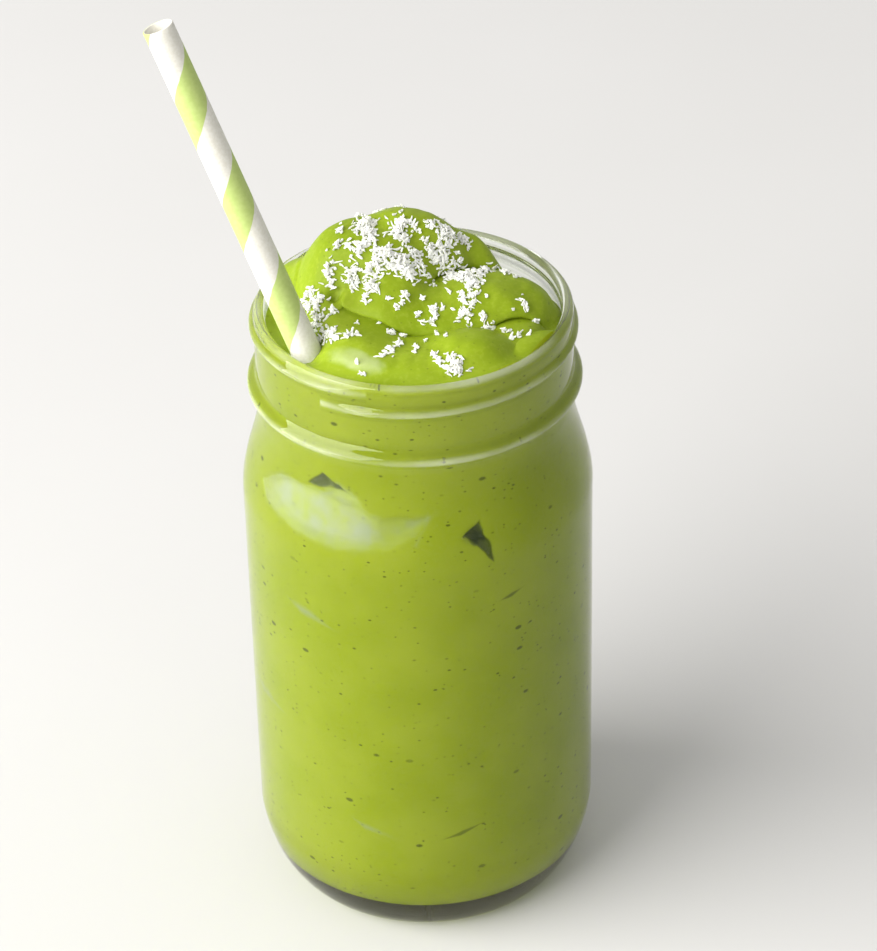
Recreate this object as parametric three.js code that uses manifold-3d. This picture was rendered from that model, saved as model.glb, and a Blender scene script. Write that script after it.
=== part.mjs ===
// A green smoothie served in a wide-mouthed clear glass jar, with a striped paper straw.
// Three solids: the glass jar, the smoothie with coconut shreds on its folds, and the straw.
// Millimetres, +Z up. The origin is the centre of the flat foot that the jar stands on.

import * as THREE from "three";
import { mergeVertices } from "three/addons/utils/BufferGeometryUtils.js";
import Module from "manifold-3d";

const wasm = await Module();
wasm.setup();

// Jar, outside
const JAR_HEIGHT = 176;
const BODY_RADIUS = 46.25;
const HEEL_WIDTH = 9.3;        // how far the foot lies inside the body
const HEEL_HEIGHT = 21;
const HEEL_POWER = 1.6;        // 2 would be a plain quarter ellipse
const SHOULDER_FROM = 123;
const SHOULDER_TO = 148;
const SHOULDER_STEPS = 6;
const NECK_RADIUS = 41.1;
const BEAD_RADIUS = 43.4;      // the ring below the thread
const BEAD_HEIGHT = 155.2;
const BEAD_HALF = 2.6;
const LIP_ROUND = 1.4;

// Jar, inside
const WALL = 2.9;
const MOUTH_RADIUS = 38.1;
const FLOOR_THICK = 8;
const FLOOR_RADIUS = 31;
const INNER_HEEL_TOP = 24;

// Screw thread, one turn on the neck
const THREAD_START = -125;     // degrees
const THREAD_TURNS = 1.05;
const THREAD_PITCH = 5.08;
const THREAD_LOW = 168.2;
const THREAD_HALF = 1.5;
const THREAD_PROUD = 1.25;
const THREAD_STEPS = 48;

// Straw
const STRAW_RADIUS = 3.9;
const STRAW_WALL = 0.5;
const STRAW_AT_RIM = [-27.7, -19.0];   // where its axis crosses the rim's height
const STRAW_LEAN = [-0.37, 0.10];      // sideways run for each millimetre of rise
const STRAW_ABOVE = 91.5;
const STRAW_BELOW = 105;

const GAP = 0.3;
const AROUND = 56;             // facets round the jar

// Smoothie: its level at the glass, measured from the rim, and the folds heaped on it, from the
// lowest to the highest. Each fold is made of domes: centre x and y, half width and half depth of
// the outline, turn in degrees, height of the top and of the outline over the rim, squareness and
// steepness. A fold hangs over those under it in a crease, or runs into them from x to x.
const FRONT_LEVEL = -1.5;
const BACK_DIP = { drop: 8.5, angle: 45, spread: 43 };
const SIDE_DIP = { drop: 3.2, angle: 180, spread: 26 };
const FOLDS = [
  { blend: 2.5, domes: [
    [-26.0, 13.0, 11.0, 13.0, 20, 4.2, -3, 2.2, 3.0],      // low fold behind the straw
  ] },
  { blend: 2.5, domes: [
    [-14.5, -16.2, 11.0, 10.8, 20, 3.8, -1, 2.2, 3.0],     // left of the front fold
    [1.0, -26.0, 30.0, 10.5, 2, 2.4, -2.5, 2.6, 3.0],      // front fold
    [14.5, -24.0, 7.5, 6.5, -15, 4.0, 0, 2.0, 2.5],        // bump on the front fold
    [25.0, -14.5, 9.0, 6.5, 15, 1.6, -2, 2.0, 2.5],        // its right end
  ] },
  { blend: 1.0, domes: [
    [30.0, -20.0, 10.0, 4.4, 44, 1.4, -2, 2.2, 2.5],       // small fold at the right
  ] },
  { blend: 3.0, merged: [-19, -24], domes: [
    [6.0, -3.5, 20.5, 12.0, -8, 7.4, 2.4, 2.1, 3.2],       // fold under the crown
    [-10.0, -5.5, 12.2, 8.6, -20, 7.0, 3.6, 2.2, 3.5],     // its left end
    [21.0, -0.5, 15.5, 10.5, -20, 6.4, -0.5, 2.2, 3.0],    // its right end, against the glass
  ] },
  { blend: 3.5, merged: [6, -3], domes: [
    [-10.5, 6.5, 17.2, 13.5, -6, 19.2, 8, 2.2, 3.4],       // left of the crown
    [0.5, 11.0, 14.0, 9.5, -12, 20.0, 8, 2.1, 2.8],        // right of the crown
    [13.5, 13.5, 8.0, 4.5, -30, 12.0, 7, 2.0, 2.5],        // tail of the crown
    [-6.0, -2.0, 11.0, 9.5, -10, 10.0, 4, 2.0, 2.5],       // slope in front of the crown
    [-21.5, -5.0, 7.0, 11.0, 10, 7.0, 1, 2.0, 2.5],        // slope at the left of the crown
  ] },
];
const CREASE = 0.3;            // how softly two folds meet in a crease
const MERGED = 3.5;            // and where they run into each other
const PIT = { x: -19.6, y: -8.2, depth: 2.4, radius: 1.7 };    // where the long crease begins
const STRAW_WELL = { radius: 6, level: -3, softness: 1 };

// Coconut: heaps as centre x and y, spread and count, then the lone shreds between them
const SEED = 7;
const HEAPS = [
  [-10, 3.5, 3.2, 9], [-3, 3, 2.6, 6], [8, 7, 2.4, 5], [13.5, 10, 2, 3], [-12.5, -4.5, 2.2, 4],
  [-7.5, -4, 2.6, 5], [-2, -3.5, 2.6, 6], [3, 1.5, 2.6, 5], [14.5, 4.5, 3, 9], [19.5, 7.5, 2.2, 4],
  [14, -8, 1.8, 3], [12.5, -13, 1, 2], [-21, -2, 1.6, 3], [-10, -9, 1.6, 2], [-25.5, -6.5, 2, 3],
  [-20.5, -17, 1.8, 3], [-6, -23, 2, 2], [10.5, -32, 1.4, 3], [6, -29.5, 1.2, 2], [25, -17.5, 1.2, 2],
];
const LONE = [
  [-2, -9.5], [5.5, -13], [-4, -12], [18.5, -15.5], [28, -8], [30.5, -11.5], [32, -20], [0, -25.5],
  [-6, -17], [5.5, -20.5], [-13.5, -33], [-23, -12.5], [-2, 16], [-12, 13], [24, 6],
];
const SHRED = { length: [2.4, 4.4], width: [1.1, 1.7], thick: [0.9, 1.3] };

function random(seed) {
  let a = seed;
  return () => {
    a = (a + 0x6d2b79f5) | 0;
    let t = Math.imul(a ^ (a >>> 15), 1 | a);
    t = (t + Math.imul(t ^ (t >>> 7), 61 | t)) ^ t;
    return ((t ^ (t >>> 14)) >>> 0) / 4294967296;
  };
}

// Manifold helpers: a closed geometry to a solid and back
function solid(geometry) {
  const bare = geometry.clone();
  bare.deleteAttribute("normal");
  bare.deleteAttribute("uv");
  const welded = mergeVertices(bare, 1e-4);
  const index = welded.index.array;
  const kept = [];
  for (let i = 0; i < index.length; i += 3) {
    const [a, b, c] = [index[i], index[i + 1], index[i + 2]];
    if (a !== b && b !== c && c !== a) kept.push(a, b, c);
  }
  return new wasm.Manifold(new wasm.Mesh({
    numProp: 3,
    vertProperties: new Float32Array(welded.attributes.position.array),
    triVerts: new Uint32Array(kept),
  }));
}

function geometryOf(manifold) {
  const mesh = manifold.getMesh();
  const geometry = new THREE.BufferGeometry();
  geometry.setAttribute("position", new THREE.BufferAttribute(mesh.vertProperties, 3));
  geometry.setIndex(new THREE.BufferAttribute(mesh.triVerts, 1));
  return geometry;
}

// A closed skin over a grid of rows: each row is a ring of points, and the first and the last
// row are closed by a fan to their own centre
function skin(rows) {
  const around = rows[0].length;
  const points = rows.flat();
  const middle = (row) => row.reduce((s, p) => s.map((v, i) => v + p[i] / around), [0, 0, 0]);
  const first = points.push(middle(rows[0])) - 1;
  const last = points.push(middle(rows[rows.length - 1])) - 1;
  const top = (rows.length - 1) * around;
  const faces = [];
  for (let j = 0; j < around; j += 1) {
    const k = (j + 1) % around;
    faces.push(first, k, j, last, top + j, top + k);
    for (let i = 0; i < top; i += around) {
      faces.push(i + j, i + k, i + around + k, i + j, i + around + k, i + around + j);
    }
  }
  const geometry = new THREE.BufferGeometry();
  geometry.setAttribute("position", new THREE.Float32BufferAttribute(points.flat(), 3));
  geometry.setIndex(faces);
  return geometry;
}

function ring(radius, height) {
  return Array.from({ length: AROUND }, (_, j) => {
    const a = (j / AROUND) * 2 * Math.PI;
    const z = typeof height === "function" ? height(radius * Math.cos(a), radius * Math.sin(a)) : height;
    return [radius * Math.cos(a), radius * Math.sin(a), z];
  });
}

// Rounded heel from the foot up to the straight wall, as radius and height
function heel(radius, width, bottom, height, steps) {
  return Array.from({ length: steps + 1 }, (_, i) => {
    const a = (i / steps) * (Math.PI / 2);
    return [
      radius - width + width * Math.sin(a) ** (2 / HEEL_POWER),
      bottom + (height - bottom) * (1 - Math.cos(a) ** (2 / HEEL_POWER)),
    ];
  });
}

function bead(steps) {
  return Array.from({ length: steps + 1 }, (_, i) => {
    const a = -Math.PI / 2 + (i / steps) * Math.PI;
    return [
      NECK_RADIUS + (BEAD_RADIUS - NECK_RADIUS) * Math.cos(a),
      BEAD_HEIGHT + BEAD_HALF * Math.sin(a),
    ];
  });
}

function lip(steps) {
  const middle = (NECK_RADIUS + MOUTH_RADIUS) / 2;
  const half = (NECK_RADIUS - MOUTH_RADIUS) / 2;
  return Array.from({ length: steps + 1 }, (_, i) => {
    const a = (i / steps) * Math.PI;
    return [middle + half * Math.cos(a), JAR_HEIGHT - LIP_ROUND + LIP_ROUND * Math.sin(a)];
  });
}

function smoothStep(t) {
  const held = Math.min(Math.max(t, 0), 1);
  return held * held * (3 - 2 * held);
}

// The shoulder, a smooth step from the straight wall in to the neck
function shoulder() {
  return Array.from({ length: SHOULDER_STEPS + 1 }, (_, i) => {
    const t = i / SHOULDER_STEPS;
    return [
      BODY_RADIUS + (NECK_RADIUS - BODY_RADIUS) * smoothStep(t),
      SHOULDER_FROM + (SHOULDER_TO - SHOULDER_FROM) * t,
    ];
  });
}

// The inner wall from the floor's edge up to the mouth, moved in by a clearance
function innerWall(clearance) {
  const straight = BODY_RADIUS - WALL;
  const rows = heel(straight, straight - FLOOR_RADIUS, FLOOR_THICK, INNER_HEEL_TOP, 6);
  for (const [radius, height] of shoulder()) {
    rows.push([Math.max(radius - WALL, MOUTH_RADIUS), height]);
  }
  return rows.map(([r, z], i) => [r - clearance, i === 0 ? z + clearance : z]);
}

function thread() {
  const sides = 6;
  const rows = Array.from({ length: THREAD_STEPS + 1 }, (_, i) => {
    const t = i / THREAD_STEPS;
    const a = THREE.MathUtils.degToRad(THREAD_START + 360 * THREAD_TURNS * t);
    const z = THREAD_LOW + THREAD_PITCH * THREAD_TURNS * t;
    const swell = Math.min(1, Math.sin(Math.PI * t) * 6) * 0.9 + 0.1;
    return Array.from({ length: sides }, (_, j) => {
      const b = (j / sides) * 2 * Math.PI;
      const r = NECK_RADIUS - 0.4 + (THREAD_PROUD + 0.4) * swell * Math.cos(b);
      return [r * Math.cos(a), r * Math.sin(a), z + THREAD_HALF * swell * Math.sin(b)];
    });
  });
  return skin(rows.reverse());
}

function jar() {
  const outside = [
    ...heel(BODY_RADIUS, HEEL_WIDTH, 0, HEEL_HEIGHT, 8), ...shoulder(), ...bead(6), ...lip(6),
  ];
  const profile = [[0, 0], ...outside, ...innerWall(0).reverse(), [0, FLOOR_THICK]];
  const lathe = new THREE.LatheGeometry(profile.map(([r, z]) => new THREE.Vector2(r, z)), AROUND);
  lathe.rotateX(Math.PI / 2);
  lathe.rotateZ(Math.PI / 2);
  return geometryOf(solid(lathe).add(solid(thread())));
}

// Height of one dome above the rim at x, y: its top, less a power of the distance d from its
// middle, which is 1 on its outline
function dome(x, y, [cx, cy, half, depth, turn, top, outline, square, steep]) {
  const t = THREE.MathUtils.degToRad(turn);
  const u = Math.abs((x - cx) * Math.cos(t) + (y - cy) * Math.sin(t)) / half;
  const v = Math.abs((y - cy) * Math.cos(t) - (x - cx) * Math.sin(t)) / depth;
  const d = (u ** square + v ** square) ** (1 / square);
  return top - (top - outline) * d ** steep;
}

function softMax(a, b, k) {
  const m = Math.max(a, b);
  return m + k * Math.log(Math.exp((a - m) / k) + Math.exp((b - m) / k));
}

function dip(x, y, { drop, angle, spread }) {
  const away = Math.atan2(y, x) - THREE.MathUtils.degToRad(angle);
  const turn = Math.atan2(Math.sin(away), Math.cos(away)) / THREE.MathUtils.degToRad(spread);
  return drop * Math.exp(-turn * turn) * ((x * x + y * y) / MOUTH_RADIUS ** 2);
}

// Height of the smoothie's surface at x, y
function surface(x, y) {
  let z = FRONT_LEVEL - dip(x, y, BACK_DIP) - dip(x, y, SIDE_DIP);
  for (const { blend, merged, domes } of FOLDS) {
    const share = merged ? smoothStep((x - merged[0]) / (merged[1] - merged[0])) : 0;
    const fold = domes.map((d) => dome(x, y, d)).reduce((a, b) => softMax(a, b, blend));
    z = softMax(z, fold, CREASE + (MERGED - CREASE) * share);
  }
  z -= PIT.depth * Math.exp(-((x - PIT.x) ** 2 + (y - PIT.y) ** 2) / PIT.radius ** 2);
  const away = Math.hypot(x - STRAW_AT_RIM[0], y - STRAW_AT_RIM[1]);
  const inside = 1 / (1 + Math.exp((away - STRAW_WELL.radius) / STRAW_WELL.softness));
  return JAR_HEIGHT + z * (1 - inside) + Math.min(z, STRAW_WELL.level) * inside;
}

// Unit vector along the straw, and a point on its axis at a height above the rim
const strawAxis = new THREE.Vector3(STRAW_LEAN[0], STRAW_LEAN[1], 1).normalize();
const strawPoint = (along) => new THREE.Vector3(...STRAW_AT_RIM, JAR_HEIGHT)
  .addScaledVector(strawAxis, along);

function alongStraw(geometry) {
  const turn = new THREE.Quaternion().setFromUnitVectors(new THREE.Vector3(0, 0, 1), strawAxis);
  geometry.applyQuaternion(turn);
  geometry.translate(...strawPoint(0));
  return geometry;
}

function straw() {
  const sides = 24;
  const tube = (radius, from, to) => {
    const rod = new THREE.CylinderGeometry(radius, radius, to - from, sides);
    rod.rotateX(Math.PI / 2);
    rod.translate(0, 0, (from + to) / 2);
    return solid(alongStraw(rod));
  };
  const outer = tube(STRAW_RADIUS, -STRAW_BELOW, STRAW_ABOVE);
  const bore = tube(STRAW_RADIUS - STRAW_WALL, -STRAW_BELOW - 1, STRAW_ABOVE + 1);
  return geometryOf(outer.subtract(bore));
}

// One shred: a twisted strip lying on the surface, half sunk so that it holds
function shred(x, y, draw) {
  const pick = ([low, high]) => low + (high - low) * draw();
  const strip = new THREE.BoxGeometry(pick(SHRED.length), pick(SHRED.width), pick(SHRED.thick));
  const place = strip.attributes.position;
  for (let i = 0; i < place.count; i += 1) {
    const curl = 0.25 * place.getX(i);
    const [py, pz] = [place.getY(i), place.getZ(i)];
    place.setY(i, py * Math.cos(curl) - pz * Math.sin(curl));
    place.setZ(i, py * Math.sin(curl) + pz * Math.cos(curl));
  }
  const step = 0.5;
  const rise = new THREE.Vector3(
    (surface(x - step, y) - surface(x + step, y)) / (2 * step),
    (surface(x, y - step) - surface(x, y + step)) / (2 * step),
    1,
  ).normalize();
  strip.rotateY((draw() - 0.5) * 0.9);
  strip.rotateZ(draw() * Math.PI);
  strip.applyQuaternion(new THREE.Quaternion().setFromUnitVectors(new THREE.Vector3(0, 0, 1), rise));
  strip.translate(x, y, surface(x, y) + 0.15);
  return solid(strip);
}

function shredPlaces(draw) {
  const places = [...LONE];
  for (const [cx, cy, spread, count] of HEAPS) {
    for (let i = 0; i < count; i += 1) {
      const out = spread * Math.sqrt(-2 * Math.log(1 - 0.92 * draw())) * 0.75;
      const turn = 2 * Math.PI * draw();
      places.push([cx + out * Math.cos(turn), cy + out * Math.sin(turn)]);
    }
  }
  const clearOfStraw = 7.5;
  const clearOfGlass = 34;
  return places.filter(([x, y]) => Math.hypot(x, y) < clearOfGlass
    && Math.hypot(x - STRAW_AT_RIM[0], y - STRAW_AT_RIM[1]) > clearOfStraw);
}

function smoothie() {
  const edge = MOUTH_RADIUS - GAP;
  const sides = innerWall(GAP).map(([r, z]) => ring(r, z));
  const topRings = 15;
  const top = Array.from({ length: topRings }, (_, i) => ring(edge * (1 - i / topRings), surface));
  const body = solid(skin([...sides, ...top]));
  const hole = new THREE.CylinderGeometry(STRAW_RADIUS + GAP, STRAW_RADIUS + GAP, 1, 24);
  hole.rotateX(Math.PI / 2);
  hole.translate(0, 0, 0.5);
  hole.scale(1, 1, STRAW_BELOW + GAP + STRAW_ABOVE);
  hole.translate(0, 0, -STRAW_BELOW - GAP);
  const draw = random(SEED);
  const shreds = shredPlaces(draw).map(([x, y]) => shred(x, y, draw));
  const whole = wasm.Manifold.union([body, ...shreds]).subtract(solid(alongStraw(hole)));
  // A pocket that the shreds seal is a shell of its own with a negative volume, and is left out
  const shells = whole.decompose().sort((a, b) => b.volume() - a.volume());
  return geometryOf(shells[0]);
}

function part(name, geometry, color, roughness, extra = {}) {
  const material = new THREE.MeshStandardMaterial({ color, roughness, metalness: 0, ...extra });
  const mesh = new THREE.Mesh(geometry, material);
  mesh.name = name;
  return mesh;
}

const group = new THREE.Group();
group.add(
  part("jar", jar(), 0xe8f0ec, 0.05, { transparent: true, opacity: 0.35 }),
  part("smoothie", smoothie(), 0xa2b532, 0.35),
  part("straw", straw(), 0xdfe6c4, 0.7),
);

export default group;
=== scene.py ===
"""A green smoothie in a wide-mouthed glass jar, with coconut shreds and a striped paper straw.

The shapes are worked out in millimetres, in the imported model's own frame, and are turned
into metres when a mesh is made. +Z is up and the jar's foot is at the origin.
"""

import math

import bpy
import numpy as np
from mathutils import Matrix, Vector


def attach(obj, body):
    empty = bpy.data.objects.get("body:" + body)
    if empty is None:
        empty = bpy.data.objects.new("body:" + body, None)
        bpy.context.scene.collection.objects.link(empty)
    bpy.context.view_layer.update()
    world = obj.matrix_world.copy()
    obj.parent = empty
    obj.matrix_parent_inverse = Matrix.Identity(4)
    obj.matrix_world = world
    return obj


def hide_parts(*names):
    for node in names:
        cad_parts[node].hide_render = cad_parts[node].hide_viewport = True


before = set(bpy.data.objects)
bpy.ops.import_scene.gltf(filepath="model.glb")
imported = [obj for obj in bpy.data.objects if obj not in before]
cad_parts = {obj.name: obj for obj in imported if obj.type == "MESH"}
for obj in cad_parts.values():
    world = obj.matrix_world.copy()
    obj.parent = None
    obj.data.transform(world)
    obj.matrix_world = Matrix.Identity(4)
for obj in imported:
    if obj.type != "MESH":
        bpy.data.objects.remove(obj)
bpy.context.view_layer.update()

MM = 0.001
FAR = 99.0                     # more than any distance that is compared with it

# Jar, outside
JAR_HEIGHT = 176.0
BODY_RADIUS = 46.25
HEEL_WIDTH = 9.3
HEEL_HEIGHT = 21.0
HEEL_POWER = 1.6
SHOULDER_FROM, SHOULDER_TO = 123.0, 148.0
SHOULDER_RADIUS = 41.25
NECK_RADIUS = 41.1
BEAD_PROUD, BEAD_AT, BEAD_HALF = 2.3, 155.2, 2.6
THREAD_PROUD, THREAD_LOW, THREAD_HALF = 1.25, 168.2, 1.75
THREAD_START, THREAD_TURNS, THREAD_PITCH = -125.0, 1.05, 5.08
LIP_ROUND = 1.4
NECK_FROM = 151.0              # the glass above this is shinier, and its ridges get painted highlights and painted shade

# Jar, inside
WALL = 2.9
MOUTH_RADIUS = 38.1
FLOOR_THICK = 8.0
FLOOR_RADIUS = 31.0
INNER_HEEL_TOP = 24.0
REACH = 0.15                   # how far the smoothie reaches into the wall

# Straw
STRAW_RADIUS, STRAW_WALL = 3.9, 0.5
STRAW_AT_RIM = np.array([-27.7, -19.0, JAR_HEIGHT])
STRAW_AXIS = np.array([-0.37, 0.10, 1.0]) / math.hypot(0.37, 0.10, 1.0)
STRAW_ABOVE, STRAW_BELOW = 91.5, 105.0
STRIPE_RISE = 29.4             # how far one turn of the spiral climbs
STRIPE_PHASE = 0.575
STRIPE_SHARE = 0.472           # green share of a turn

# Smoothie: level at the glass below the rim, then the folds from the lowest to the highest, as
# groups of domes: how softly a group's domes blend, and from where to where in x it merges with
# the folds under it, then its domes. Each dome is centre x and y, half width and half depth of
# its outline, turn in degrees, height of its top and of its outline over the rim, squareness and
# steepness
FRONT_LEVEL = -1.5
BACK_DIP = (8.5, 45.0, 43.0)   # drop, where, how wide, in degrees
SIDE_DIP = (3.2, 180.0, 26.0)
FOLDS = [
    (2.5, None, [(-26.0, 13.0, 11.0, 13.0, 20, 4.2, -3, 2.2, 3.0)]),
    (2.5, None, [(-14.5, -16.2, 11.0, 10.8, 20, 3.8, -1, 2.2, 3.0),
                 (1.0, -26.0, 30.0, 10.5, 2, 2.4, -2.5, 2.6, 3.0),
                 (14.5, -24.0, 7.5, 6.5, -15, 4.0, 0, 2.0, 2.5),
                 (25.0, -14.5, 9.0, 6.5, 15, 1.6, -2, 2.0, 2.5)]),
    (1.0, None, [(30.0, -20.0, 10.0, 4.4, 44, 1.4, -2, 2.2, 2.5)]),
    (3.0, (-19.0, -24.0), [(6.0, -3.5, 20.5, 12.0, -8, 7.4, 2.4, 2.1, 3.2),
                           (-10.0, -5.5, 12.2, 8.6, -20, 7.0, 3.6, 2.2, 3.5),
                           (21.0, -0.5, 15.5, 10.5, -20, 6.4, -0.5, 2.2, 3.0)]),
    (3.5, (6.0, -3.0), [(-10.5, 6.5, 17.2, 13.5, -6, 19.2, 8, 2.2, 3.4),
                        (0.5, 11.0, 14.0, 9.5, -12, 20.0, 8, 2.1, 2.8),
                        (13.5, 13.5, 8.0, 4.5, -30, 12.0, 7, 2.0, 2.5),
                        (-6.0, -2.0, 11.0, 9.5, -10, 10.0, 4, 2.0, 2.5),
                        (-21.5, -5.0, 7.0, 11.0, 10, 7.0, 1, 2.0, 2.5)]),
]
CREASE, MERGED = 0.3, 3.5      # how sharp a crease is, and how soft where the folds have merged
PIT = (-19.6, -8.2, 2.4, 1.7)  # where the crease begins: x, y, depth, radius
BULGE, BULGE_HEIGHT = 1.3, 2.6   # how far a fold hangs over the one under it, and how high up
STRAW_WELL = (6.0, -3.0, 1.0)  # radius, level, softness of its edge
SMEAR_AT = (-14.5, -29.5)      # middle of the pale smear, partly froth and partly a painted highlight

# Where the smoothie lies off the glass, as convex outlines on the wall, each corner an angle in
# degrees and a height, counter-clockwise as seen from outside; first how deep the gap is
POCKET_RADIUS = 43.0
PALE_POCKETS = [
    (1.5, [(-160.0, 133.5), (-152.0, 129.5), (-137.0, 127.6), (-122.0, 126.8), (-110.0, 127.6),
           (-101.0, 130.5), (-103.0, 137.0), (-112.0, 140.0), (-130.0, 141.0), (-148.0, 139.5)]),
    (1.2, [(-110.0, 127.6), (-99.0, 129.0), (-90.0, 132.5), (-85.5, 137.5), (-96.0, 138.2),
           (-106.0, 137.0)]),
    (1.2, [(-128.0, 139.0), (-108.0, 138.0), (-112.0, 142.0), (-121.0, 145.0)]),
    (0.0, [(-92.0, 130.2), (-90.4, 129.8), (-85.4, 136.8), (-86.4, 138.2)]),
    (0.0, [(-116.5, 39.9), (-112.0, 36.8), (-99.0, 34.9), (-106.0, 37.7)]),
    (0.0, [(-141.0, 105.6), (-134.0, 102.4), (-121.0, 101.4), (-129.0, 105.0)]),
    (0.0, [(-172.0, 66.6), (-160.0, 63.8), (-145.0, 64.6), (-156.0, 67.4)]),
]
# the dark ones get near-black painted shade in the gap off the glass; the flat ones are slits of painted
# shade
PAINTED_SHADE_POCKETS = [
    (2.0, [(-133.5, 141.2), (-116.0, 141.6), (-120.0, 143.6), (-127.0, 146.2)]),
    (2.8, [(-75.5, 131.2), (-70.8, 128.6), (-67.0, 129.6), (-68.4, 134.8)]),
    (2.4, [(-71.5, 129.6), (-64.6, 122.8), (-65.8, 128.6), (-68.0, 132.0)]),
    (0.0, [(-64.5, 110.0), (-58.0, 110.1), (-52.5, 112.2), (-58.0, 111.7)]),
    (0.0, [(-86.0, 34.7), (-78.0, 35.5), (-70.0, 38.8), (-77.5, 37.5)]),
]

# Coconut: clumps as they were read off an enlarged part of the picture, each across, down
# and wide there. The part begins at CLUMP_CORNER of the picture, CLUMP_SCALE times enlarged
CLUMP_CORNER, CLUMP_SCALE = (285, 195), 4.2
SEARCH = (JAR_HEIGHT + 30, JAR_HEIGHT - 10)    # from and to which height they are looked for
CLUMPS_SEEN = [
    (345, 120, 40), (350, 160, 30), (310, 150, 22), (490, 130, 34), (470, 160, 26), (540, 130, 12),
    (610, 125, 22), (680, 160, 30), (660, 175, 20), (750, 190, 24), (500, 180, 20), (230, 150, 14),
    (225, 210, 14), (270, 215, 16), (310, 230, 26), (340, 215, 20), (370, 190, 26), (395, 235, 20),
    (390, 290, 26), (350, 320, 18), (430, 260, 30), (470, 280, 30), (500, 300, 34), (520, 330, 26),
    (560, 300, 22), (540, 250, 26), (620, 260, 26), (600, 230, 26), (650, 240, 28), (680, 255, 22),
    (720, 270, 16), (190, 310, 28), (270, 340, 22), (290, 370, 22), (300, 310, 16), (360, 380, 24),
    (350, 430, 16), (390, 385, 12), (200, 380, 12), (100, 415, 24), (140, 450, 24), (100, 470, 22),
    (130, 500, 22), (150, 515, 18), (200, 490, 16), (130, 545, 10), (700, 340, 26), (755, 345, 34),
    (800, 335, 34), (790, 372, 30), (840, 322, 24), (880, 318, 18), (910, 330, 14), (930, 305, 10),
    (960, 345, 8), (770, 390, 14), (790, 420, 18), (755, 435, 16), (790, 450, 14), (755, 490, 24),
    (825, 495, 14), (740, 415, 10), (500, 415, 18), (620, 360, 6), (620, 385, 6), (575, 432, 8),
    (470, 470, 12), (490, 455, 8), (620, 470, 14), (630, 500, 14), (620, 530, 10), (555, 495, 8),
    (575, 530, 6), (660, 465, 6), (440, 435, 5), (690, 405, 6), (850, 560, 24), (930, 565, 12),
    (940, 590, 8), (970, 580, 8), (1000, 455, 16), (1045, 530, 14), (1075, 605, 9), (1030, 590, 4),
    (180, 580, 22), (215, 570, 24), (225, 600, 16), (270, 590, 14), (300, 580, 10), (430, 580, 14),
    (430, 645, 20), (460, 620, 12), (480, 600, 10), (410, 665, 8), (545, 645, 12), (650, 600, 8),
    (690, 600, 8), (605, 620, 7), (640, 580, 5), (670, 580, 5), (635, 665, 12), (655, 690, 14),
    (715, 700, 28), (720, 735, 22), (690, 720, 14), (780, 742, 10), (710, 780, 6), (320, 750, 14),
    (310, 700, 5), (300, 545, 4), (380, 540, 4),
]
# Clumps behind the heap's crest, as centre x and y and radius in millimetres
CLUMPS_BEHIND = [
    (-13.0, 14.0, 1.3), (-9.0, 16.5, 1.1), (-3.0, 17.5, 1.4), (3.5, 18.5, 1.0), (8.0, 16.0, 1.2),
    (-6.0, 20.0, 0.8), (13.0, 17.0, 0.8), (-18.0, 16.0, 0.9), (0.5, 22.0, 0.6), (24.0, 7.0, 1.0),
]
SHRED_LENGTH, SHRED_WIDTH, SHRED_THICK = (0.7, 3.2), (0.38, 0.9), (0.28, 0.55)
COCONUT_REACH = 36.0           # no shred lies further from the jar's axis
STRAW_CLEAR = 5.8              # nor nearer to the straw's axis at the rim

# Camera, fitted to the jar's outline in the 877 x 951 picture
PICTURE = (877, 951)
SENSOR = 36.0
FOCAL_PIXELS = 3507.0
CAMERA_PITCH, CAMERA_ROLL = 33.99, 1.37
CAMERA_DISTANCE = 927.5
CAMERA_TARGET = (5.46, 0.0, 122.67)

# Light, in metres and watts
KEY_PLACE, KEY_AIM = (-1.68, -0.78, 0.85), (0.0, 0.0, 0.1)
KEY_SIZE, KEY_POWER, KEY_COLOUR = 2.4, 120, (1.0, 0.985, 0.96)
ROOM_COLOUR, ROOM_STRENGTH = (1.0, 0.995, 0.985, 1.0), 0.6
FLOOR_HALF = 2500.0            # millimetres


# Directions and mesh helpers

def camera_axes():
    """The camera's right, up and back, rolled so that the jar's top leans left in the picture."""
    pitch, roll = math.radians(CAMERA_PITCH), math.radians(CAMERA_ROLL)
    right, up = np.array([1, 0, 0]), np.array([0, math.sin(pitch), math.cos(pitch)])
    back = np.array([0, -math.cos(pitch), math.sin(pitch)])
    turned = math.cos(roll) * right - math.sin(roll) * up
    return turned, math.sin(roll) * right + math.cos(roll) * up, back


def mesh_piece(name, points, faces, smooth=True):
    """A new object with its place in its mesh, from points in millimetres and a list of faces."""
    mesh = bpy.data.meshes.new(name)
    mesh.from_pydata((np.asarray(points) * MM).tolist(), [], faces)
    mesh.polygons.foreach_set("use_smooth", np.full(len(mesh.polygons), smooth))
    mesh.update()
    piece = bpy.data.objects.new(name, mesh)
    bpy.context.scene.collection.objects.link(piece)
    return piece


def grid_faces(rows, around):
    """Quads between neighbouring rows of a grid whose rows are closed rings."""
    i, j = np.meshgrid(np.arange(rows - 1), np.arange(around), indexing="ij")
    k = (j + 1) % around
    quads = np.stack([i * around + j, i * around + k, (i + 1) * around + k, (i + 1) * around + j], -1)
    return quads.reshape(-1, 4).tolist()


def closed_skin(name, grid):
    """A closed surface over rings of points; the first and the last ring get a fan to their middle."""
    rows, around = grid.shape[:2]
    points = np.concatenate([grid.reshape(-1, 3), grid[:1].mean(1), grid[-1:].mean(1)])
    j = np.arange(around)
    k = (j + 1) % around
    first, last = rows * around, rows * around + 1
    top = (rows - 1) * around
    fans = np.concatenate([np.stack([np.full(around, first), k, j], -1),
                           np.stack([np.full(around, last), top + j, top + k], -1)])
    return mesh_piece(name, points, grid_faces(rows, around) + fans.tolist())


def smooth_step(t):
    t = np.clip(t, 0, 1)
    return t * t * (3 - 2 * t)


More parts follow.
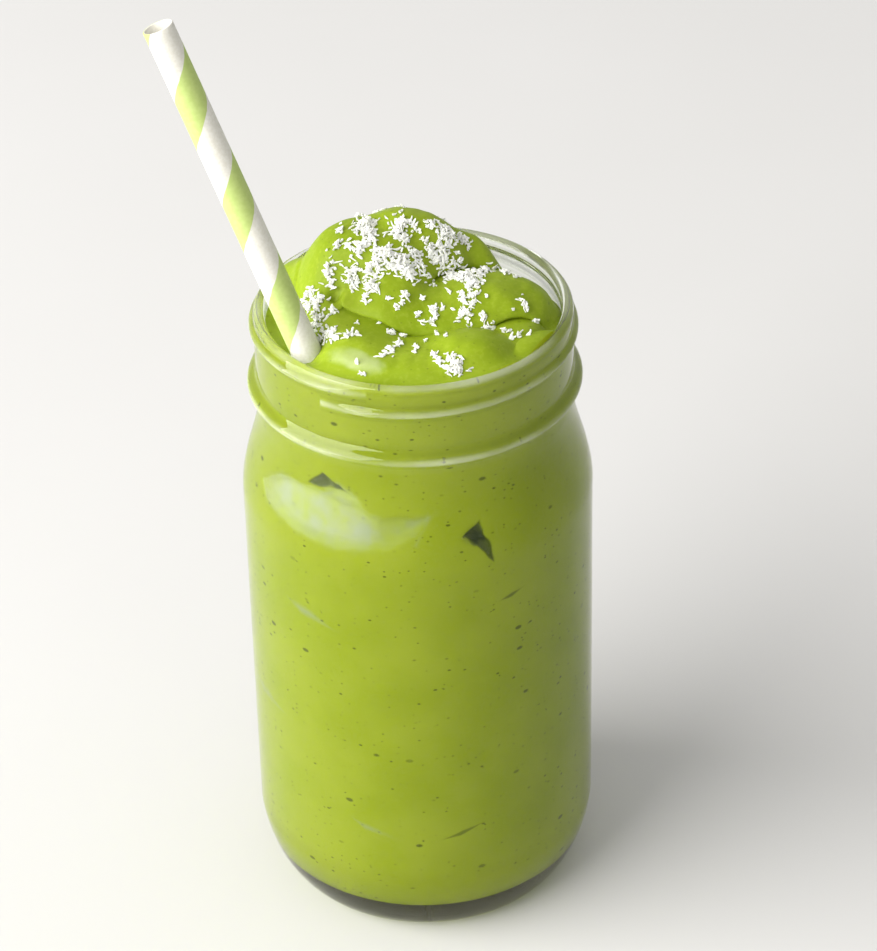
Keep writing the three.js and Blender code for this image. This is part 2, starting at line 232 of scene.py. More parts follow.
def soft_max(a, b, k):
    m = np.maximum(a, b)
    return m + k * np.log(np.exp((a - m) / k) + np.exp((b - m) / k))


def waves(x, y, z, length, seed):
    """Smooth unevenness from -1 to 1: the mean of sine waves of about one length in seeded directions."""
    draw, count = np.random.default_rng(seed), 9
    total = np.zeros(np.broadcast(x, y, z).shape)
    for _ in range(count):
        way = draw.normal(size=3)
        way *= 2 * np.pi / (length * draw.uniform(0.7, 1.5) * np.linalg.norm(way))
        total = total + np.sin(way[0] * x + way[1] * y + way[2] * z + draw.uniform(0, 2 * np.pi))
    return total / count * 1.8


# The jar

def heel_radius(z, radius, width, bottom, top):
    """Superellipse: the width times the root of one less the powered share of height still to climb."""
    left = np.clip((top - z) / (top - bottom), 0, 1)
    return radius - width + width * (1 - left ** HEEL_POWER) ** (1 / HEEL_POWER)


def outer_radius(z):
    """Heel, straight wall, then a smooth step in to the neck."""
    body = heel_radius(z, BODY_RADIUS, HEEL_WIDTH, 0, HEEL_HEIGHT)
    fall = smooth_step((z - SHOULDER_FROM) / (SHOULDER_TO - SHOULDER_FROM))
    neck = np.interp(z, [SHOULDER_TO, JAR_HEIGHT], [SHOULDER_RADIUS, NECK_RADIUS])
    return body + (neck - BODY_RADIUS) * fall


def inner_radius(z):
    """Heel, straight wall, then a smooth step in to the mouth."""
    straight = BODY_RADIUS - WALL
    heel = heel_radius(z, straight, straight - FLOOR_RADIUS, FLOOR_THICK, INNER_HEEL_TOP)
    fall = smooth_step((z - SHOULDER_FROM) / (SHOULDER_TO - SHOULDER_FROM))
    return heel + (MOUTH_RADIUS - straight) * fall


def raised(u):
    """A moulded ridge across -1 to 1: round crest, soft fillets."""
    return np.where(np.abs(u) < 1, (0.5 + 0.5 * np.cos(np.pi * np.clip(u, -1, 1))) ** 0.8, 0.0)


def thread_rise(angle, z):
    """One helical turn: at each angle, the ridge sits at the height that the turn has climbed to."""
    rise = np.zeros(np.broadcast(angle, z).shape)
    share = ((np.degrees(angle) - THREAD_START) / 360) % 1
    for lap in (0, 1):
        turn = share + lap
        tip = smooth_step(turn / 0.06) * smooth_step((THREAD_TURNS - turn) / 0.06)
        height = THREAD_LOW + THREAD_PITCH * turn
        rise = np.maximum(rise, tip * raised((z - height) / THREAD_HALF))
    return THREAD_PROUD * rise


def jar_profile():
    """Radius and height from the foot's middle up the outside, over the lip, down to the floor's middle."""
    turn = np.linspace(0, math.pi / 2, 30)
    heel_z = HEEL_HEIGHT * (1 - np.cos(turn) ** (2 / HEEL_POWER))
    outside = np.concatenate([heel_z, np.linspace(HEEL_HEIGHT, SHOULDER_FROM, 22)[1:],
                              np.linspace(SHOULDER_FROM, SHOULDER_TO, 26)[1:],
                              np.linspace(SHOULDER_TO, JAR_HEIGHT - LIP_ROUND, 76)[1:]])
    over = np.linspace(0, math.pi, 17)[1:-1]
    middle, half = (NECK_RADIUS + MOUTH_RADIUS) / 2, (NECK_RADIUS - MOUTH_RADIUS) / 2
    lip = np.stack([middle + half * np.cos(over), JAR_HEIGHT - LIP_ROUND + LIP_ROUND * np.sin(over)], -1)
    inner_heel = (INNER_HEEL_TOP - FLOOR_THICK) * (1 - np.sin(turn) ** (2 / HEEL_POWER))
    inside = np.concatenate([np.linspace(JAR_HEIGHT - LIP_ROUND, SHOULDER_TO, 10),
                             np.linspace(SHOULDER_TO, SHOULDER_FROM, 26)[1:],
                             np.linspace(SHOULDER_FROM, INNER_HEEL_TOP, 14)[1:], FLOOR_THICK + inner_heel])
    foot = np.stack([np.linspace(0.02, 1, 5)[:-1] * (BODY_RADIUS - HEEL_WIDTH), np.zeros(4)], -1)
    floor = np.stack([np.linspace(1, 0.02, 5)[1:] * FLOOR_RADIUS, np.full(4, FLOOR_THICK)], -1)
    parts = [foot, np.stack([outer_radius(outside), outside], -1), lip,
             np.stack([inner_radius(inside), inside], -1), floor]
    outer_rows = len(foot) + len(outside)
    return np.concatenate(parts), outer_rows


def make_jar():
    """The profile turned round the axis; bead, thread and a faint moulding unevenness lift its outside."""
    around = 224
    profile, outer_rows = jar_profile()
    angle = np.linspace(0, 2 * np.pi, around, endpoint=False)[None, :]
    r, z = profile[:, :1] + 0 * angle, profile[:, 1:] + 0 * angle
    outside = (np.arange(len(profile)) < outer_rows)[:, None] & (z > 1)
    lift = BEAD_PROUD * raised((z - BEAD_AT) / (BEAD_HALF * 1.2)) + thread_rise(angle, z)
    uneven = waves(np.cos(angle) * 46, np.sin(angle) * 46, z, 26, 5) * 0.06
    uneven = uneven * smooth_step(z / 20) * smooth_step((150 - z) / 20)
    r = r + np.where(outside, lift, 0) - np.where(outside, np.abs(uneven), uneven)
    piece = closed_skin("glass_jar", np.stack([r * np.cos(angle), r * np.sin(angle), z], -1))
    piece.data.materials.append(glass_look("clear_glass", 0.4))
    piece.data.materials.append(glass_look("shiny_glass_painted_ridges", 0.7))
    middles = np.zeros(3 * len(piece.data.polygons))
    piece.data.polygons.foreach_get("center", middles)
    piece.data.polygons.foreach_set("material_index", (middles[2::3] > NECK_FROM * MM).astype(np.int32))
    return piece


# The smoothie

def dome(x, y, cx, cy, half, depth, turn, top, outline, square, steep):
    """Height over a turned superellipse: its top, less a power of the distance d from its middle.

    d is 0 in the middle and 1 on the outline, where the dome has come down to the height outline.
    """
    t = math.radians(turn)
    u = np.abs((x - cx) * math.cos(t) + (y - cy) * math.sin(t)) / half
    v = np.abs((y - cy) * math.cos(t) - (x - cx) * math.sin(t)) / depth
    d = (u ** square + v ** square) ** (1 / square)
    return top - (top - outline) * d ** steep


def dip(x, y, drop, where, wide):
    """A hollow at the glass: a bell curve round one direction, growing with the square of the radius."""
    away = np.angle(np.exp(1j * (np.arctan2(y, x) - math.radians(where)))) / math.radians(wide)
    return drop * np.exp(-away * away) * (x * x + y * y) / MOUTH_RADIUS ** 2


def merging(x, merged):
    """Share by which a fold runs into those under it instead of hanging over them: all at the left."""
    return smooth_step((x - merged[0]) / (merged[1] - merged[0])) if merged else 0 * x


def fold_rises(x, y):
    """The level in the jar, and how far each group of folds stands over all that is under it."""
    z = FRONT_LEVEL - dip(x, y, *BACK_DIP) - dip(x, y, *SIDE_DIP)
    rises = []
    for blend, merged, domes in FOLDS:
        group = dome(x, y, *domes[0])
        for one in domes[1:]:
            group = soft_max(group, dome(x, y, *one), blend)
        rises.append(group - z)
        z = soft_max(z, group, CREASE + (MERGED - CREASE) * merging(x, merged))
    return z - PIT[2] * np.exp(-((x - PIT[0]) ** 2 + (y - PIT[1]) ** 2) / PIT[3] ** 2), rises


def surface_height(x, y):
    """The folds joined by a crease, and a well round the straw."""
    z = fold_rises(x, y)[0]
    away = np.hypot(x - STRAW_AT_RIM[0], y - STRAW_AT_RIM[1])
    inside = 1 / (1 + np.exp((away - STRAW_WELL[0]) / STRAW_WELL[2]))
    z = z * (1 - inside) + np.minimum(z, STRAW_WELL[1]) * inside
    return JAR_HEIGHT + z


def overhang(x, y):
    """Sideways shift that makes each fold hang over the crease at its foot.

    A group that rises g over the one under it moves downhill, against the gradient of g, by
    BULGE times q exp(1 - q), with q = g / BULGE_HEIGHT. Near the glass the shift fades out.
    """
    h = 0.3
    here = fold_rises(x, y)[1]
    left, right = fold_rises(x - h, y)[1], fold_rises(x + h, y)[1]
    near, far = fold_rises(x, y - h)[1], fold_rises(x, y + h)[1]
    shift = np.zeros(x.shape + (2,))
    for k, rise in enumerate(here):
        slope = np.stack([right[k] - left[k], far[k] - near[k]], -1)
        slope /= np.linalg.norm(slope, axis=-1, keepdims=True) + 1e-6
        q = np.clip(rise / BULGE_HEIGHT, 0, None)
        push = BULGE * q * np.exp(1 - q) * (1 - merging(x, FOLDS[k][1]))
        shift = shift * (1 - smooth_step(rise))[..., None] - slope * push[..., None]
    fade = smooth_step((MOUTH_RADIUS - 1.5 - np.hypot(x, y)) / 5)
    return shift * fade[..., None]


def fine_height(x, y):
    """The folds with the small unevenness of thick, spooned drink on them."""
    z = surface_height(x, y)
    still = smooth_step((MOUTH_RADIUS - 0.5 - np.hypot(x, y)) / 6)
    uneven = 0.35 * waves(x, y, 0 * x, 9, 21) + 0.12 * waves(x, y, 0 * x, 3.5, 22)
    return z + uneven * (0.25 + 0.75 * still)


def off_pocket(angle, z, corners, greater):
    """Distance in millimetres outside a convex outline on the wall, below 0 inside it.

    It is the greatest of the distances outside its sides, for arrays and shader values alike.
    """
    across = angle * POCKET_RADIUS
    flat = [(math.radians(a) * POCKET_RADIUS, h) for a, h in corners]
    away = None
    for (ax, az), (bx, bz) in zip(flat, flat[1:] + flat[:1]):
        long = math.hypot(bx - ax, bz - az)
        nx, nz = (bz - az) / long, (ax - bx) / long
        side = across * nx + z * nz - (ax * nx + az * nz)
        away = side if away is None else greater(away, side)
    return away


def pocket_depth(angle, z):
    """How far the smoothie lies off the wall: the deepest pocket, with sloping, wavy edges."""
    ragged = 0.5 * waves(angle * POCKET_RADIUS, 0 * angle, z, 9, 31)
    depth = np.zeros(np.broadcast(angle, z).shape)
    for deep, corners in PALE_POCKETS + PAINTED_SHADE_POCKETS:
        inside = smooth_step((ragged - off_pocket(angle, z, corners, np.maximum)) / 2.2)
        depth = np.maximum(depth, (deep + REACH) * inside if deep else 0)
    return depth


def surface_point(x, y):
    """The surface above x, y, moved sideways by its overhang."""
    shift = overhang(x, y)
    return np.stack([x + shift[..., 0], y + shift[..., 1], fine_height(x, y)], -1)


def make_smoothie():
    """Rings up the inner wall, just inside the glass, then rings inward over the folds."""
    around = 320
    angle = np.linspace(-np.pi, np.pi, around, endpoint=False)[None, :]
    turn = np.linspace(0, math.pi / 2, 22)
    low = FLOOR_THICK - REACH
    heel = low + (INNER_HEEL_TOP - low) * (1 - np.cos(turn) ** (2 / HEEL_POWER))
    height = np.concatenate([heel, np.linspace(INNER_HEEL_TOP, SHOULDER_FROM, 76)[1:],
                             np.linspace(SHOULDER_FROM, SHOULDER_TO + 2, 34)[1:]])
    wall_r = inner_radius(np.maximum(height, FLOOR_THICK)) + REACH
    floor_r = np.linspace(0.05, 0.95, 8) * (FLOOR_RADIUS + REACH)
    r = np.concatenate([floor_r, wall_r])[:, None] + 0 * angle
    z = np.concatenate([np.full(8, low), height])[:, None] + 0 * angle
    r = r - pocket_depth(angle, z)
    edge = MOUTH_RADIUS + REACH
    edge_z = fine_height(edge * np.cos(angle), edge * np.sin(angle))
    climb = np.linspace(0, 1, 13)[1:, None]
    r_neck = edge + 0 * climb * angle
    z_neck = height[-1] + (edge_z - height[-1]) * climb
    inward = np.linspace(1, 0.004, 140)[:, None]
    r_top = edge * inward + 0 * angle
    top = surface_point(r_top * np.cos(angle), r_top * np.sin(angle))
    r, z = np.concatenate([r, r_neck]), np.concatenate([z, z_neck])
    wall = np.stack([r * np.cos(angle), r * np.sin(angle), z], -1)
    piece = closed_skin("smoothie_body", np.concatenate([wall, top]))
    piece.data.materials.append(wet_smoothie())
    piece.data.materials.append(smoothie_behind_glass())
    faces = np.arange(len(piece.data.polygons))
    fans = len(faces) - 2 * around
    behind = (faces < (len(r) - 1) * around) | ((faces >= fans) & (faces < fans + around))
    piece.data.polygons.foreach_set("material_index", behind.astype(np.int32))
    return piece


# Straw

def straw_frame():
    """Two directions across the straw and the one along it."""
    side = np.cross([0.0, 1.0, 0.0], STRAW_AXIS)
    side /= np.linalg.norm(side)
    return side, np.cross(STRAW_AXIS, side), STRAW_AXIS


def make_straw():
    """A tube: rings up the outside, over the cut edge and down the bore, back to the first ring."""
    around, rings, bore_rings = 96, 120, 30
    side, front, axis = straw_frame()
    angle = np.linspace(0, 2 * np.pi, around, endpoint=False)
    low, high, bevel = -STRAW_BELOW, STRAW_ABOVE, 0.12
    inner = STRAW_RADIUS - STRAW_WALL
    r = np.concatenate([[inner + bevel, STRAW_RADIUS - bevel], np.full(rings, STRAW_RADIUS),
                        [STRAW_RADIUS - bevel, inner + bevel], np.full(bore_rings, inner)])
    t = np.concatenate([[low, low], np.linspace(low + bevel, high - bevel, rings), [high, high],
                        np.linspace(high - bevel, low + bevel, bore_rings)])
    ring = np.cos(angle)[:, None] * side + np.sin(angle)[:, None] * front
    points = STRAW_AT_RIM + r[:, None, None] * ring[None] + t[:, None, None] * axis
    faces = np.array(grid_faces(len(r) + 1, around)) % (len(r) * around)
    return mesh_piece("paper_straw", points.reshape(-1, 3), faces.tolist())


# Coconut

def clump_places():
    """Centre x and y and radius of each clump on the folds.

    The ray from the camera through a clump's place in the picture is followed down in even
    steps. The first step under the surface is taken, or else the one that comes nearest to it.
    """
    seen = np.array(CLUMPS_SEEN, float)
    across, down = (CLUMP_CORNER + seen[:, :2] / CLUMP_SCALE - np.array(PICTURE) / 2).T
    right, up, back = camera_axes()
    way = across[:, None] * right - down[:, None] * up - FOCAL_PIXELS * back
    eye = CAMERA_TARGET + CAMERA_DISTANCE * back
    z = np.linspace(*SEARCH, 800)[:, None]
    x, y = (eye[i] + (z - eye[2]) * way[:, i] / way[:, 2] for i in (0, 1))
    above = np.where(np.hypot(x, y) < MOUTH_RADIUS, z - surface_height(x, y), FAR)
    step = np.where((above < 0).any(0), (above < 0).argmax(0), above.argmin(0))
    each = np.arange(len(seen))
    radius = seen[:, 2] / CLUMP_SCALE * CAMERA_DISTANCE / FOCAL_PIXELS
    return np.concatenate([np.stack([x[step, each], y[step, each], radius], -1), CLUMPS_BEHIND])


def coconut_places(draw):
    """Centre x and y of each shred and how high it lies on its clump, thrown by a seeded draw."""
    places = []
    for cx, cy, radius in clump_places():
        count = int(3 + 13 * radius ** 2)
        out = 0.55 * radius * draw.rayleigh(0.95, count) * np.where(draw.random(count) < 0.1, 2.2, 1)
        turn = draw.uniform(0, 2 * np.pi, count)
        pile = 0.75 * radius * np.exp(-(out / radius / 0.6) ** 2) * draw.uniform(0, 1, count)
        places.append(np.stack([cx + out * np.cos(turn), cy + out * np.sin(turn), pile], -1))
    places = np.concatenate(places)
    from_straw = np.hypot(places[:, 0] - STRAW_AT_RIM[0], places[:, 1] - STRAW_AT_RIM[1])
    from_axis = np.hypot(places[:, 0], places[:, 1])
    return places[(from_axis < COCONUT_REACH) & (from_straw > STRAW_CLEAR)]


def unit(v):
    return v / np.linalg.norm(v, axis=-1, keepdims=True)


def make_coconut():
    """Ragged strips laid on the heaps.

    A strip is five sections of five points. Along its length t from -1 to 1, its section is an
    ellipse that narrows with the cube of t, its middle bends with the square of t, and the
    section twists with t. Each point is then carried into the shred's own three directions.
    """
    draw = np.random.default_rng(11)
    places = coconut_places(draw)
    n, sections, sides = len(places), 5, 5
    t = np.linspace(-1, 1, sections)[None, :, None]
    around = np.linspace(0, 2 * np.pi, sides, endpoint=False) + draw.uniform(0, 6, (n, 1, 1))
    one = lambda low, high, b=1.0: low + (high - low) * draw.beta(1.0, b, (n, 1, 1))
    ragged = draw.uniform(0.6, 1.4, (n, sections, sides)) * (1 - 0.5 * np.abs(t) ** 3)
    length = one(*SHRED_LENGTH, 2.6)
    across = one(*SHRED_WIDTH) / 2 * np.cos(around) * ragged
    up = one(*SHRED_THICK) / 2 * np.sin(around) * ragged
    twist = one(-1.2, 1.2) * t
    across, up = across * np.cos(twist) - up * np.sin(twist), across * np.sin(twist) + up * np.cos(twist)
    across = across + one(-0.18, 0.18) * t * t * length
    up = up + one(-0.10, 0.16) * t * t * length
    along = length / 2 * t + 0 * around

    x, y, pile = places.T
    base, h = surface_point(x, y), 0.4
    normal = unit(np.cross(surface_point(x + h, y) - surface_point(x - h, y),
                           surface_point(x, y + h) - surface_point(x, y - h)))
    yaw, lean, roll = draw.uniform(0, 2 * np.pi, n), draw.normal(0, 0.45, n), draw.normal(0, 0.7, n)
    flat = np.stack([np.cos(yaw), np.sin(yaw), 0 * yaw], -1)
    flat = unit(flat - normal * (flat * normal).sum(-1, keepdims=True))
    lie = np.cos(lean)[:, None] * flat + np.sin(lean)[:, None] * normal
    side = unit(np.cross(normal, lie))
    side = np.cos(roll)[:, None] * side + np.sin(roll)[:, None] * np.cross(lie, side)
    rise = np.cross(lie, side)
    points = (base + normal * (0.15 + pile)[:, None])[:, None, None, :]
    for share, way in ((along, lie), (across, side), (up, rise)):
        points = points + share[..., None] * way[:, None, None, :]

    first = (np.arange(n) * sections * sides)[:, None, None]
    strips = (np.array(grid_faces(sections, sides)) + first).reshape(-1, 4).tolist()
    cap = np.arange(sides)
    caps = (np.stack([cap[::-1], cap + (sections - 1) * sides]) + first).reshape(-1, sides).tolist()
    return mesh_piece("coconut_shreds", points.reshape(-1, 3), strips + caps, smooth=False)


# Shader maths

class Value:
    """A socket whose arithmetic adds Math nodes to its material."""

    def __init__(self, look, socket):
        self.look, self.socket = look, socket

    def _do(self, operation, *others):
        return self.look.math(operation, self, *others)

    def __add__(self, other):
        return self._do("ADD", other)

    def __sub__(self, other):
        return self._do("SUBTRACT", other)

    def __mul__(self, other):
        return self._do("MULTIPLY", other)

    def __truediv__(self, other):
        return self._do("DIVIDE", other)

    def __rsub__(self, other):
        return self.look.math("SUBTRACT", other, self)

    def __lt__(self, other):
        return self._do("LESS_THAN", other)

    def __gt__(self, other):
        return self._do("GREATER_THAN", other)

    __radd__, __rmul__ = __add__, __mul__


class Look:
    """One material, its shader, and the few ways that its nodes are made."""

    def __init__(self, name, **constants):
        self.material = bpy.data.materials.new(name)
        self.material.use_nodes = True
        self.tree = self.material.node_tree
        self.shader = self.tree.nodes["Principled BSDF"]
        self.set(**constants)
        self.place = Value(self, self.node("ShaderNodeTexCoord").outputs["Object"])
        parts = self.node("ShaderNodeSeparateXYZ", Vector=self.place)
        self.x, self.y, self.z = (Value(self, parts.outputs[i]) / MM for i in range(3))

    def node(self, kind, settings=None, **inputs):
        made = self.tree.nodes.new(kind)
        for key, value in (settings or {}).items():
            setattr(made, key, value)
        for key, value in inputs.items():
            self.feed(made.inputs[int(key[1:]) if key[0] == "_" else key.replace("_", " ")], value)
        return made

    def feed(self, socket, value):
        if isinstance(value, Value):
            self.tree.links.new(value.socket, socket)
        else:
            socket.default_value = value

    def set(self, **inputs):
        for key, value in inputs.items():
            self.feed(self.shader.inputs[key.replace("_", " ")], value)

    def math(self, operation, *values):
        made = self.node("ShaderNodeMath", {"operation": operation},
                         **{f"_{i}": v for i, v in enumerate(values)})
        return Value(self, made.outputs[0])

    def clamp(self, low, high, value):
        """Smooth step of value between low and high."""
        made = self.node("ShaderNodeMapRange", {"interpolation_type": "SMOOTHSTEP"},
                         Value=value, From_Min=low, From_Max=high)
        return Value(self, made.outputs[0])

    def mix(self, factor, a, b):
        made = self.node("ShaderNodeMix", {"data_type": "RGBA"}, _0=factor, _6=a, _7=b)
        return Value(self, made.outputs[2])

    def noise(self, scale, detail=2.0, roughness=0.5, place=None):
        made = self.node("ShaderNodeTexNoise", Vector=place or self.place, Scale=scale, Detail=detail,
                         Roughness=roughness)
        return Value(self, made.outputs[0])

    def noise_vector(self, scale, reach, place):
        """The place, shifted each way by noise of this reach in metres."""
        noise = self.node("ShaderNodeTexNoise", Vector=self.place, Scale=scale)
        moved = self.node("ShaderNodeVectorMath", {"operation": "MULTIPLY_ADD"},
                          _0=Value(self, noise.outputs[1]), _1=(reach, reach, reach), _2=place)
        return Value(self, moved.outputs[0])

    def stretched(self, share):
        """The place with its height scaled, so that a pattern on it is drawn out or flattened."""
        scaled = self.node("ShaderNodeVectorMath", {"operation": "MULTIPLY"},
                           _0=self.place, _1=(1.0, 1.0, share))
        return Value(self, scaled.outputs[0])

    def cells(self, scale, place):
        """Distance to the nearest scattered point, in cell widths, and a random number for its cell."""
        made = self.node("ShaderNodeTexVoronoi", Vector=place, Scale=scale)
        parts = self.node("ShaderNodeSeparateColor", Color=Value(self, made.outputs["Color"]))
        return Value(self, made.outputs["Distance"]), Value(self, parts.outputs[0])

    def bump(self, height, strength, distance):
        made = self.node("ShaderNodeBump", Height=height, Strength=strength, Distance=distance)
        self.set(Normal=Value(self, made.outputs[0]))

    def overlay(self, factor, colour):
        """Lays a matt colour over the shader by this factor."""
        matt = self.node("ShaderNodeBsdfDiffuse", Color=colour)
        both = self.node("ShaderNodeMixShader", _0=factor, _1=Value(self, self.shader.outputs[0]),
                         _2=Value(self, matt.outputs[0]))
        self.tree.links.new(both.outputs[0], self.tree.nodes["Material Output"].inputs["Surface"])

    def dot(self, vector, fixed):
        made = self.node("ShaderNodeVectorMath", {"operation": "DOT_PRODUCT"}, _0=vector, _1=tuple(fixed))
        return Value(self, made.outputs["Value"])


def rgb(red, green, blue):
    return (red, green, blue, 1.0)


CLEAR = rgb(0.975, 0.99, 0.975)


def ridges(look):
    """Millimetres over or under the crest of the neck's nearest ridge: bead, thread or lip."""
    turn = look.math("ARCTAN2", look.y, look.x) / (2 * math.pi)
    share = look.math("FRACT", turn + 1 - THREAD_START / 360)
    nearest = look.math("MINIMUM", look.math("ABSOLUTE", look.z - BEAD_AT), JAR_HEIGHT - look.z)
    for lap in (0, 1):
        shown = share + lap < THREAD_TURNS
        off = look.math("ABSOLUTE", look.z - (share + lap) * THREAD_PITCH - THREAD_LOW)
        nearest = look.math("MINIMUM", nearest, off + (1 - shown) * FAR)
    return nearest


def glass_look(name, shine):
    """Clear moulded glass: faint waviness, a few soft smudges, painted highlights and shade on its ridges
    and painted light on its foot.
    """
    look = Look(name, IOR=1.5, Transmission_Weight=1.0, Specular_Tint=rgb(shine, shine, shine))
    smudge = look.noise(90, 3) * look.noise(14, 2)
    # a film of drink clouds the inside of the wall, which shows where the smoothie lies off it
    from_axis = look.math("SQRT", look.x * look.x + look.y * look.y)
    film = (from_axis < BODY_RADIUS - WALL / 2) * (look.z > INNER_HEEL_TOP) * (look.z < NECK_FROM)
    look.set(Roughness=look.clamp(0.25, 0.5, smudge) * 0.05 + film * 0.2)
    look.bump(look.noise(55, 1), 0.12, 0.0006)
    # painted light: the foot's underside is given an emission, olive inside and paler at its edge, in place
    # of the light that the drink throws on the foot from above
    edge = look.clamp(31.0, 37.5, from_axis + look.noise(150, 2) * 3)
    painted_foot_glow = look.mix(edge, rgb(0.012, 0.012, 0.0), rgb(0.09, 0.092, 0.045))
    under = look.clamp(0.3, 0.1, look.z)
    look.set(Emission_Color=look.mix(under, rgb(0, 0, 0), painted_foot_glow), Emission_Strength=1.0)
    if name == "shiny_glass_painted_ridges":
        off = ridges(look) + (look.noise(70, 2) - 0.5) * 0.5
        # painted shade: the glass is darkened beside each ridge of bead, thread and lip
        painted_groove_shade = look.clamp(1.2, 1.8, off) * look.clamp(2.9, 2.0, off) * 0.45
        look.set(Base_Color=look.mix(painted_groove_shade, CLEAR, rgb(0.55, 0.60, 0.42)))
        # painted highlight: a pale matt colour laid over each ridge's crest
        crest = look.clamp(1.4, 0.1, off) * look.clamp(0.2, 0.8, look.noise(45, 2)) * 0.32
        look.overlay(crest, rgb(0.86, 0.9, 0.76))
    else:
        # painted green light: the glass near the foot is tinted olive in place of the drink's light seen
        # through the base
        foot = look.clamp(9.0, 3.0, look.z)
        look.set(Base_Color=look.mix(foot, CLEAR, rgb(0.93, 0.95, 0.62)))
    return look.material


def blended_green(look, dark, light, speck_strength):
    """Cloudy green with a fine froth, and dark specks of leaf set three distances apart."""
    colour = look.mix(look.clamp(0.3, 0.7, look.noise(45, 3, 0.55)), dark, light)
    colour = look.mix(look.clamp(0.45, 0.75, look.noise(900, 2)) * 0.2, colour, rgb(0.40, 0.47, 0.06))
    drawn_out = look.noise_vector(350, 0.0008, look.stretched(1.7))
    for apart, most, few in ((9.0, 0.14, 0.45), (4.0, 0.16, 0.5), (2.0, 0.2, 0.55)):
        away, lot = look.cells(1 / (apart * MM), drawn_out)
        speck = look.clamp(most, most * 0.55, away) * look.clamp(few, few + 0.3, lot)
        colour = look.mix(speck * speck_strength, colour, rgb(0.06, 0.08, 0.005))
    return colour


def wet_smoothie():
    """The open top: moist, with one pale smear on the fold beside the straw, partly froth and partly a
    painted highlight of the wet surface.
    """
    look = Look("smoothie_on_top", Subsurface_Weight=0.25, Subsurface_Radius=(1.0, 1.0, 0.25),
                Subsurface_Scale=0.0015, IOR=1.4, Specular_IOR_Level=0.2)
    colour = blended_green(look, rgb(0.225, 0.318, 0.007), rgb(0.275, 0.37, 0.018), 0.3)
    # the pale smear: partly froth, partly a painted highlight of the wet top
    x, y = look.x - SMEAR_AT[0], look.y - SMEAR_AT[1]
    u, v = x * 0.9 - y * 0.45, x * 0.45 + y * 0.9
    spread = u * u / 64 + v * v / 9 + (look.noise(200, 4) - 0.5) * 1.6
    smear = look.clamp(1.2, 0.2, spread) * look.noise(120, 4, place=look.stretched(0.3)) * 0.8
    look.set(Base_Color=look.mix(smear, colour, rgb(0.52, 0.58, 0.36)))
    look.set(Roughness=look.noise(120, 3) * 0.3 + 0.3)
    look.bump(look.noise(420, 3) + look.noise(90, 2) * 0.8, 0.25, 0.0004)
    return look.material


def smoothie_behind_glass():
    """The sides, matt behind the wall, tinted where the smoothie lies off the glass: pale where a film of
    drink is on the glass, near black for painted shade in the dark gaps.

    A pocket deeper than a millimetre has a broad ragged edge if it is pale, and the flat ones
    are fainter streaks.
    """
    look = Look("smoothie_behind_glass", IOR=1.4, Specular_IOR_Level=0.0)
    colour = blended_green(look, rgb(0.345, 0.43, 0.012), rgb(0.39, 0.47, 0.026), 0.75)
    angle = look.math("ARCTAN2", look.y, look.x)
    greater = lambda one, other: look.math("MAXIMUM", one, other)
    ragged = (look.noise(160, 4) - 0.5) * 3.0
    streaks = look.clamp(0.36, 0.62, look.noise(95, 4, 0.6, place=look.stretched(0.8)))
    # a pale tint for the film of drink on the glass; near black for painted shade in the dark gaps
    kinds = ((PALE_POCKETS, rgb(0.355, 0.405, 0.27), streaks * 0.7 + 0.15, 4.0),
             (PAINTED_SHADE_POCKETS, rgb(0.035, 0.055, 0.003), 0.85, 0.6))
    for pockets, tint, strength, soft in kinds:
        for depth, corners in pockets:
            edge, rough, share = (soft, ragged, 1) if depth > 1 else (soft * 0.35 + 0.35, ragged * 0.25, 0.7)
            inside = look.clamp(-edge / 3, edge, rough - off_pocket(angle, look.z, corners, greater))
            colour = look.mix(inside * strength * share, colour, tint)
    look.set(Base_Color=colour, Roughness=look.noise(120, 3) * 0.2 + 0.55)
    return look.material


def straw_look():
    """Waxed paper: one broad green spiral on white, with soft ink edges and fibres."""
    look = Look("striped_paper", IOR=1.45, Specular_IOR_Level=0.35)
    side, front, axis = straw_frame()
    start = STRAW_AT_RIM * MM
    along = look.dot(look.place, axis) - float(start @ axis)
    across = look.dot(look.place, side) - float(start @ side)
    ahead = look.dot(look.place, front) - float(start @ front)
    angle = look.math("ARCTAN2", ahead, across) / (2 * math.pi)
    wobble = (look.noise(500, 2) - 0.5) * 0.02
    turn = look.math("FRACT", along / (STRIPE_RISE * MM) - angle + wobble + 10.0 + STRIPE_PHASE)
    edge = 0.008
    green = look.clamp(0.0, edge, turn) * look.clamp(STRIPE_SHARE + edge, STRIPE_SHARE, turn)
    from_axis = look.math("SQRT", across * across + ahead * ahead)
    green = green * (from_axis > (STRAW_RADIUS - STRAW_WALL / 2) * MM)
    fibre = look.noise(1400, 3)
    white = look.mix(look.clamp(0.3, 0.7, fibre), rgb(0.70, 0.68, 0.60), rgb(0.76, 0.745, 0.68))
    uneven = look.clamp(0.3, 0.7, look.noise(900, 3))
    ink = look.mix(uneven, rgb(0.44, 0.555, 0.165), rgb(0.48, 0.59, 0.195))
    look.set(Base_Color=look.mix(green, white, ink), Roughness=fibre * 0.2 + 0.45)
    look.bump(fibre + green * 0.6, 0.25, 0.0001)
    return look.material


def coconut_look():
    """Dried coconut: warm white, faintly translucent, with a fibrous surface."""
    look = Look("dried_coconut", Subsurface_Weight=0.2, Subsurface_Radius=(1.0, 0.9, 0.7),
                Subsurface_Scale=0.0008, Specular_IOR_Level=0.3)
    look.set(Base_Color=look.mix(look.noise(350, 2), rgb(0.86, 0.87, 0.80), rgb(0.95, 0.95, 0.92)),
             Roughness=look.noise(600, 2) * 0.2 + 0.5)
    look.bump(look.noise(2500, 2), 0.3, 0.0001)
    return look.material


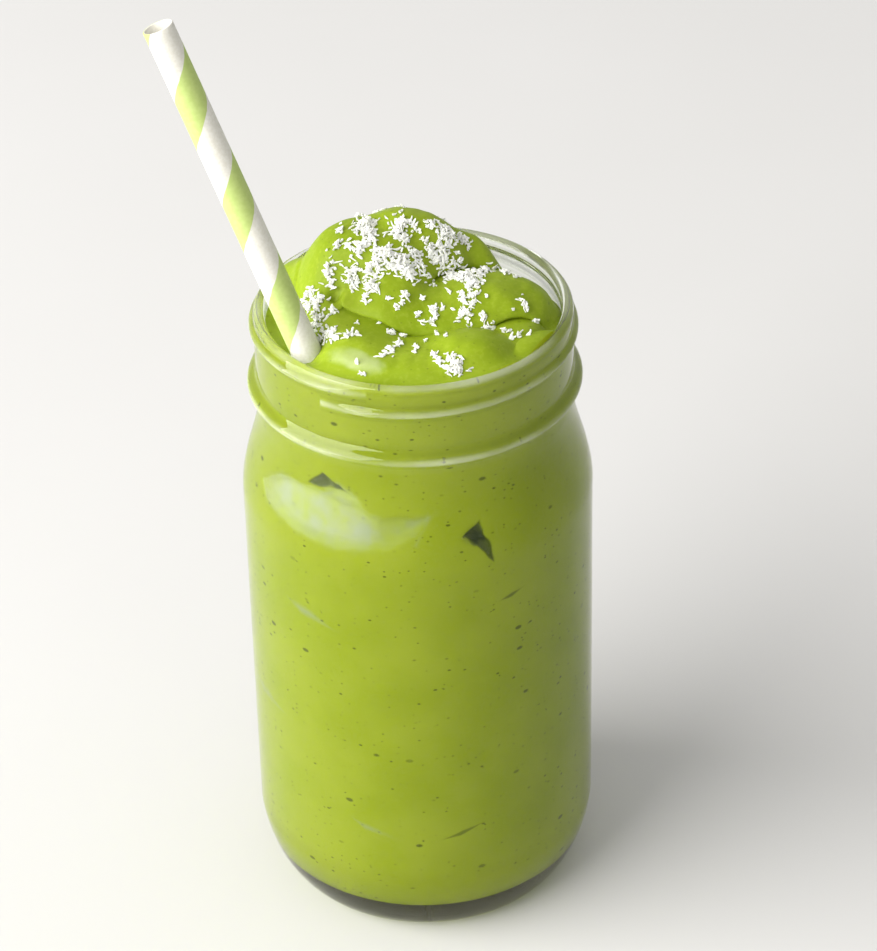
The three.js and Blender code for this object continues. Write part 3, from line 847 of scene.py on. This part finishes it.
def floor_look():
    look = Look("pale_floor", Roughness=0.6, Specular_IOR_Level=0.2)
    look.set(Base_Color=look.mix(look.noise(6, 4), rgb(0.655, 0.65, 0.64), rgb(0.69, 0.685, 0.68)))
    return look.material


# The set

def place_camera():
    """Looks down at the jar from the front, as the picture does."""
    right, up, back = (Vector(axis) for axis in camera_axes())
    data = bpy.data.cameras.new("camera")
    data.sensor_width = SENSOR
    data.lens = FOCAL_PIXELS * SENSOR / max(PICTURE)
    data.clip_start, data.clip_end = 0.01, 20
    camera = bpy.data.objects.new("camera", data)
    turn = Matrix((right, up, back)).transposed().to_4x4()
    camera.matrix_world = Matrix.Translation((Vector(CAMERA_TARGET) + back * CAMERA_DISTANCE) * MM) @ turn
    bpy.context.scene.collection.objects.link(camera)
    bpy.context.scene.camera = camera


def area_light(name, place, aim, size, power, colour):
    data = bpy.data.lights.new(name, "AREA")
    data.size, data.energy, data.color = size, power, colour
    light = bpy.data.objects.new(name, data)
    turn = (Vector(place) - Vector(aim)).to_track_quat("Z", "Y").to_matrix().to_4x4()
    light.matrix_world = Matrix.Translation(place) @ turn
    bpy.context.scene.collection.objects.link(light)


def light_set():
    area_light("window_key", KEY_PLACE, KEY_AIM, KEY_SIZE, KEY_POWER, KEY_COLOUR)
    world = bpy.data.worlds.new("room")
    world.use_nodes = True
    world.node_tree.nodes["Background"].inputs[0].default_value = ROOM_COLOUR
    world.node_tree.nodes["Background"].inputs[1].default_value = ROOM_STRENGTH
    bpy.context.scene.world = world
    bpy.context.scene.view_settings.view_transform = "Standard"


def make_floor():
    corners = np.array([(-1, -1, 0), (1, -1, 0), (1, 1, 0), (-1, 1, 0)]) * FLOOR_HALF
    floor = mesh_piece("floor", corners, [(0, 1, 2, 3)])
    floor.data.materials.append(floor_look())


place_camera()
make_floor()
light_set()

jar = make_jar()
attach(jar, "root")
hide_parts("jar")

smoothie = make_smoothie()
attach(smoothie, "root")
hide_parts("smoothie")

coconut = make_coconut()
coconut.data.materials.append(coconut_look())
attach(coconut, "root")

straw = make_straw()
straw.data.materials.append(straw_look())
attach(straw, "root")
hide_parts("straw")
